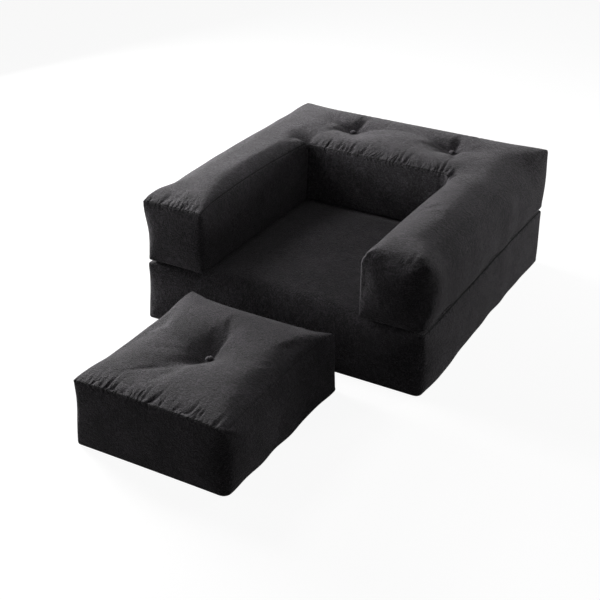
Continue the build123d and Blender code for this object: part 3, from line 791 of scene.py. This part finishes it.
def covered_button(name, cad_node, body):
    """A low dome of suede over a tin shell, with the cloth tucked under its rim in small gathers."""
    low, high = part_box(cad_node)
    middle = (low + high) / 2
    radius = (high.x - low.x) / 2
    only(None)
    bpy.ops.mesh.primitive_uv_sphere_add(segments=36, ring_count=18, radius=radius,
                                         location=(middle.x, middle.y, low.z))
    made = bpy.context.object
    made.name = made.data.name = name
    bpy.ops.object.transform_apply(location=True, rotation=False, scale=False)
    places = points(made)
    around = np.arctan2(places[:, 1] - middle.y, places[:, 0] - middle.x)
    out = np.hypot(places[:, 0] - middle.x, places[:, 1] - middle.y) / radius
    up = (places[:, 2] - low.z) / radius
    height = high.z - low.z
    places[:, 2] = low.z + np.where(up > 0, up * height, up * 1.2 * mm)
    tuck = 1 - 0.03 * smooth(out, 0.75, 1.0) * (0.5 + 0.5 * np.cos(14 * around))
    places[:, 0] = middle.x + (places[:, 0] - middle.x) * tuck
    places[:, 1] = middle.y + (places[:, 1] - middle.y) * tuck
    set_points(made, places)
    bpy.ops.object.shade_smooth()
    finish_piece(made, lit_button_suede, body, [cad_node])


covered_button("left_back_button", "back_button_left", "arms_back")
covered_button("right_back_button", "back_button_right", "arms_back")
covered_button("pouf_top_button", "pouf_button", "pouf")


def plain_material(name, code, roughness, metallic=0.0, grain=0.0, grain_size=1 * mm):
    """One colour, slightly uneven at the size of the material's grain, with as little relief."""
    made, tree, shader = new_material(name)
    place = node(tree, "ShaderNodeTexCoord").outputs["Object"]
    speckle = node(tree, "ShaderNodeTexNoise", {"Vector": place, "Scale": 1 / grain_size, "Detail": 3.0})
    shades = node(tree, "ShaderNodeValToRGB", {"Fac": speckle.outputs["Fac"]})
    colour = linear(code)
    shades.color_ramp.elements[0].color = (*[c * 0.8 for c in colour[:3]], 1)
    shades.color_ramp.elements[1].color = (*[min(1, c * 1.2) for c in colour[:3]], 1)
    tree.links.new(shades.outputs["Color"], shader.inputs["Base Color"])
    relief = node(tree, "ShaderNodeBump", {"Height": speckle.outputs["Fac"], "Strength": grain,
                                           "Distance": 0.2 * mm})
    tree.links.new(relief.outputs["Normal"], shader.inputs["Normal"])
    shader.inputs["Roughness"].default_value = roughness
    shader.inputs["Metallic"].default_value = metallic
    return made


# Waxed polyester twine: dull black, with the fine ridges of its twist.
twine = plain_material("waxed_polyester_twine", "#1d1c1e", 0.6, grain=0.6)
# Moulded nylon: black, half gloss and nearly smooth.
anchor_plastic = plain_material("black_moulded_nylon", "#161617", 0.45, grain=0.1)


def dress(cad_node, material):
    """Gives a CAD node that is shown as it is its material and slot."""
    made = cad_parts[cad_node]
    made.data.materials.clear()
    made.data.materials.append(material)


for name in ("back_tufting_cord_left", "back_tufting_cord_right", "pouf_tufting_cord"):
    dress(name, twine)
for name in ("back_anchor_button_left", "back_anchor_button_right", "pouf_anchor_button"):
    dress(name, anchor_plastic)

# CLOTH HINGE
# A strip of black webbing cloth sewn to the rear band of the mattress and to that of the arms and back. It
# folds on the line between them, so the U turns over backwards on it.
lower_low, lower_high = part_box("hinge_leaf_lower")
upper_low, upper_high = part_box("hinge_leaf_upper")
fold_y = lower_high.y - 1.2 * mm
strip_half = lower_high.x
strip_thick = 0.8 * mm
# Polyester webbing: matt black, with the raised ribs of its weave.
webbing = plain_material("black_polyester_webbing", "#1f1e20", 0.85, grain=0.7, grain_size=1.2 * mm)
only(None)
bpy.ops.mesh.primitive_grid_add(x_subdivisions=90, y_subdivisions=14, size=1)
hinge_strip = bpy.context.object
hinge_strip.name = hinge_strip.data.name = "hinge_strip"
grid = points(hinge_strip)
across = grid[:, 1] + 0.5
face_y = lower_low.y + 0.6 * mm
strip_z = lower_low.z + (upper_high.z - lower_low.z) * across
bulge = np.clip(1 - (np.abs(across - 0.5) / 0.36) ** 2, 0, 1) ** 0.8
strip_y = face_y + (fold_y - face_y) * bulge
set_points(hinge_strip, np.stack([grid[:, 0] * 2 * strip_half, strip_y, strip_z], 1))
only(hinge_strip)
thick = hinge_strip.modifiers.new("Solidify", "SOLIDIFY")
thick.thickness = strip_thick
thick.offset = 1
bpy.ops.object.modifier_apply(modifier=thick.name)
bpy.ops.object.mode_set(mode="EDIT")
bpy.ops.mesh.select_all(action="SELECT")
bpy.ops.mesh.normals_make_consistent(inside=False)
bpy.ops.object.mode_set(mode="OBJECT")
bpy.ops.object.shade_smooth()
hinge_strip.data.materials.append(webbing)
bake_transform(hinge_strip)
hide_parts("hinge_leaf_lower", "hinge_leaf_upper")

# ZIPS
# A zip in the rear band of each cover, by which the foam goes in: woven tape, two rows of metal teeth, and a
# die-cast slider with a flat pull.

# Woven polyester tape: black and matt, with a fine ribbed weave.
tape_cloth = plain_material("woven_zip_tape", "#1b1a1c", 0.9, grain=0.8, grain_size=1.5 * mm)
# Blackened zinc: dark grey metal, satin and almost without grain.
zip_metal = plain_material("blackened_zinc", "#5a5a5d", 0.35, metallic=1.0, grain=0.05)
tooth_pitch = 2.4 * mm
tooth_wide = 1.3 * mm
tooth_tall = 2.5 * mm
tooth_deep = 0.5 * mm
chain_top = 2.6 * mm
chain_end = 9 * mm
tooth_round = 0.2 * mm


def zip_teeth(cover):
    """Two rows of small teeth on the chain, each row set half a tooth along from the other."""
    low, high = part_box(f"{cover}_zip")
    first = low.x + chain_end
    count = int((high.x - chain_end - first) / tooth_pitch)
    rows = []
    for side in (-1, 1):
        only(None)
        along = first + (side + 1) * tooth_pitch / 4
        place = (along, low.y + chain_top, (low.z + high.z) / 2 + side * tooth_tall / 2)
        bpy.ops.mesh.primitive_cube_add(size=1, location=place, scale=(tooth_wide, tooth_deep, tooth_tall))
        row = bpy.context.object
        bpy.ops.object.transform_apply(location=True, rotation=False, scale=True)
        rounded = row.modifiers.new("Bevel", "BEVEL")
        rounded.width = tooth_round
        rounded.segments = 1
        bpy.ops.object.modifier_apply(modifier=rounded.name)
        repeat = row.modifiers.new("Array", "ARRAY")
        repeat.count = count
        repeat.use_relative_offset = False
        repeat.use_constant_offset = True
        repeat.constant_offset_displace = (tooth_pitch, 0, 0)
        bpy.ops.object.modifier_apply(modifier=repeat.name)
        rows.append(row)
    only(rows[0])
    rows[1].select_set(True)
    bpy.ops.object.join()
    rows[0].name = rows[0].data.name = f"{cover}_zip_teeth"
    finish_piece(rows[0], zip_metal, cover)


for cover in ("base", "arms_back", "pouf"):
    dress(f"{cover}_zip", tape_cloth)
    dress(f"{cover}_zip_slider", zip_metal)
    dress(f"{cover}_zip_pull", zip_metal)
    zip_teeth(cover)

# FLOOR, LIGHT AND CAMERA
# A plain white studio floor that keeps the soft shadow. A long low window lamp stands on the left, with a
# smaller one nearer, a weak higher one, a low one behind on the right, a low fill in front, and a faint room.
only(None)
bpy.ops.mesh.primitive_plane_add(size=30, location=(0, 0, 0))
floor = bpy.context.object
floor.name = "studio_floor"
floor_white, tree, shader = new_material("matt_white_floor")
tree.nodes.remove(shader)
# Matt paint, grey under the lamps so that the shadow stays, and shown near white to the camera.
seen = node(tree, "ShaderNodeLightPath").outputs["Is Camera Ray"]
paper = node(tree, "ShaderNodeBsdfDiffuse", {"Color": linear("#727272")})
shine = node(tree, "ShaderNodeMath", {0: seen, 1: 0.93}, operation="MULTIPLY")
glow = node(tree, "ShaderNodeEmission", {"Color": (1, 1, 1, 1), "Strength": shine.outputs[0]})
white = node(tree, "ShaderNodeAddShader", {0: paper.outputs[0], 1: glow.outputs[0]})
tree.links.new(white.outputs[0], tree.nodes["Material Output"].inputs["Surface"])
floor.data.materials.append(floor_white)

world = bpy.data.worlds.new("plain_room")
bpy.context.scene.world = world
world.use_nodes = True
tree = world.node_tree
sky = tree.nodes["Background"]
rays = node(tree, "ShaderNodeLightPath")
direct = node(tree, "ShaderNodeMath", {0: rays.outputs["Is Camera Ray"], 1: rays.outputs["Is Glossy Ray"]},
              operation="MAXIMUM")
room_light = 0.033
level = node(tree, "ShaderNodeMapRange", {"Value": direct.outputs[0], "To Min": room_light, "To Max": 1.0})
tree.links.new(level.outputs["Result"], sky.inputs["Strength"])
sky.inputs["Color"].default_value = (1, 1, 1, 1)


def soft_light(name, place, aim, width, height, power):
    """A rectangular lamp at a place, turned to its aim. Sizes are metres and the power is watts."""
    lamp = bpy.data.lights.new(name, "AREA")
    lamp.shape = "RECTANGLE"
    lamp.size = width
    lamp.size_y = height
    lamp.energy = power
    made = bpy.data.objects.new(name, lamp)
    bpy.context.scene.collection.objects.link(made)
    made.location = place
    made.rotation_euler = (Vector(aim) - Vector(place)).to_track_quat("-Z", "Y").to_euler()


middle = (0, -0.3, 0.2)
soft_light("window_light", (-2.4, 0.42, 0.95), middle, 1.8, 0.3, 106)
soft_light("near_window_light", (-2.0, -0.45, 1.0), middle, 0.7, 0.4, 22)
soft_light("high_light", (-1.6, -0.3, 1.7), middle, 0.5, 0.5, 15)
soft_light("rear_right_light", (1.6, 1.75, 0.58), middle, 0.6, 0.3, 20)
soft_light("near_light", (-2.3, -2.3, 0.55), middle, 1.0, 0.5, 9)

camera_turn = math.radians(28.44)
camera_tilt = math.radians(28.66)
camera_roll = math.radians(0.88)
camera_away = 3.3191
camera_aim = Vector((0.0656, -0.477, 0.2))
focal_pixels = 1170.0
picture_pixels = 600
back = Vector((math.sin(camera_turn) * math.cos(camera_tilt), -math.cos(camera_turn) * math.cos(camera_tilt),
               math.sin(camera_tilt)))
to_right = (-back).cross(Vector((0, 0, 1))).normalized()
upward = to_right.cross(-back)
rolled_right = math.cos(camera_roll) * to_right + math.sin(camera_roll) * upward
rolled_upward = math.cos(camera_roll) * upward - math.sin(camera_roll) * to_right
camera_data = bpy.data.cameras.new("photo_camera")
camera_data.sensor_width = 36
camera_data.lens = camera_data.sensor_width * focal_pixels / picture_pixels
camera = bpy.data.objects.new("photo_camera", camera_data)
bpy.context.scene.collection.objects.link(camera)
turned = Matrix((rolled_right, rolled_upward, back)).transposed().to_4x4()
turned.translation = camera_aim + back * camera_away
camera.matrix_world = turned
bpy.context.scene.camera = camera
bpy.context.scene.view_settings.view_transform = "Standard"
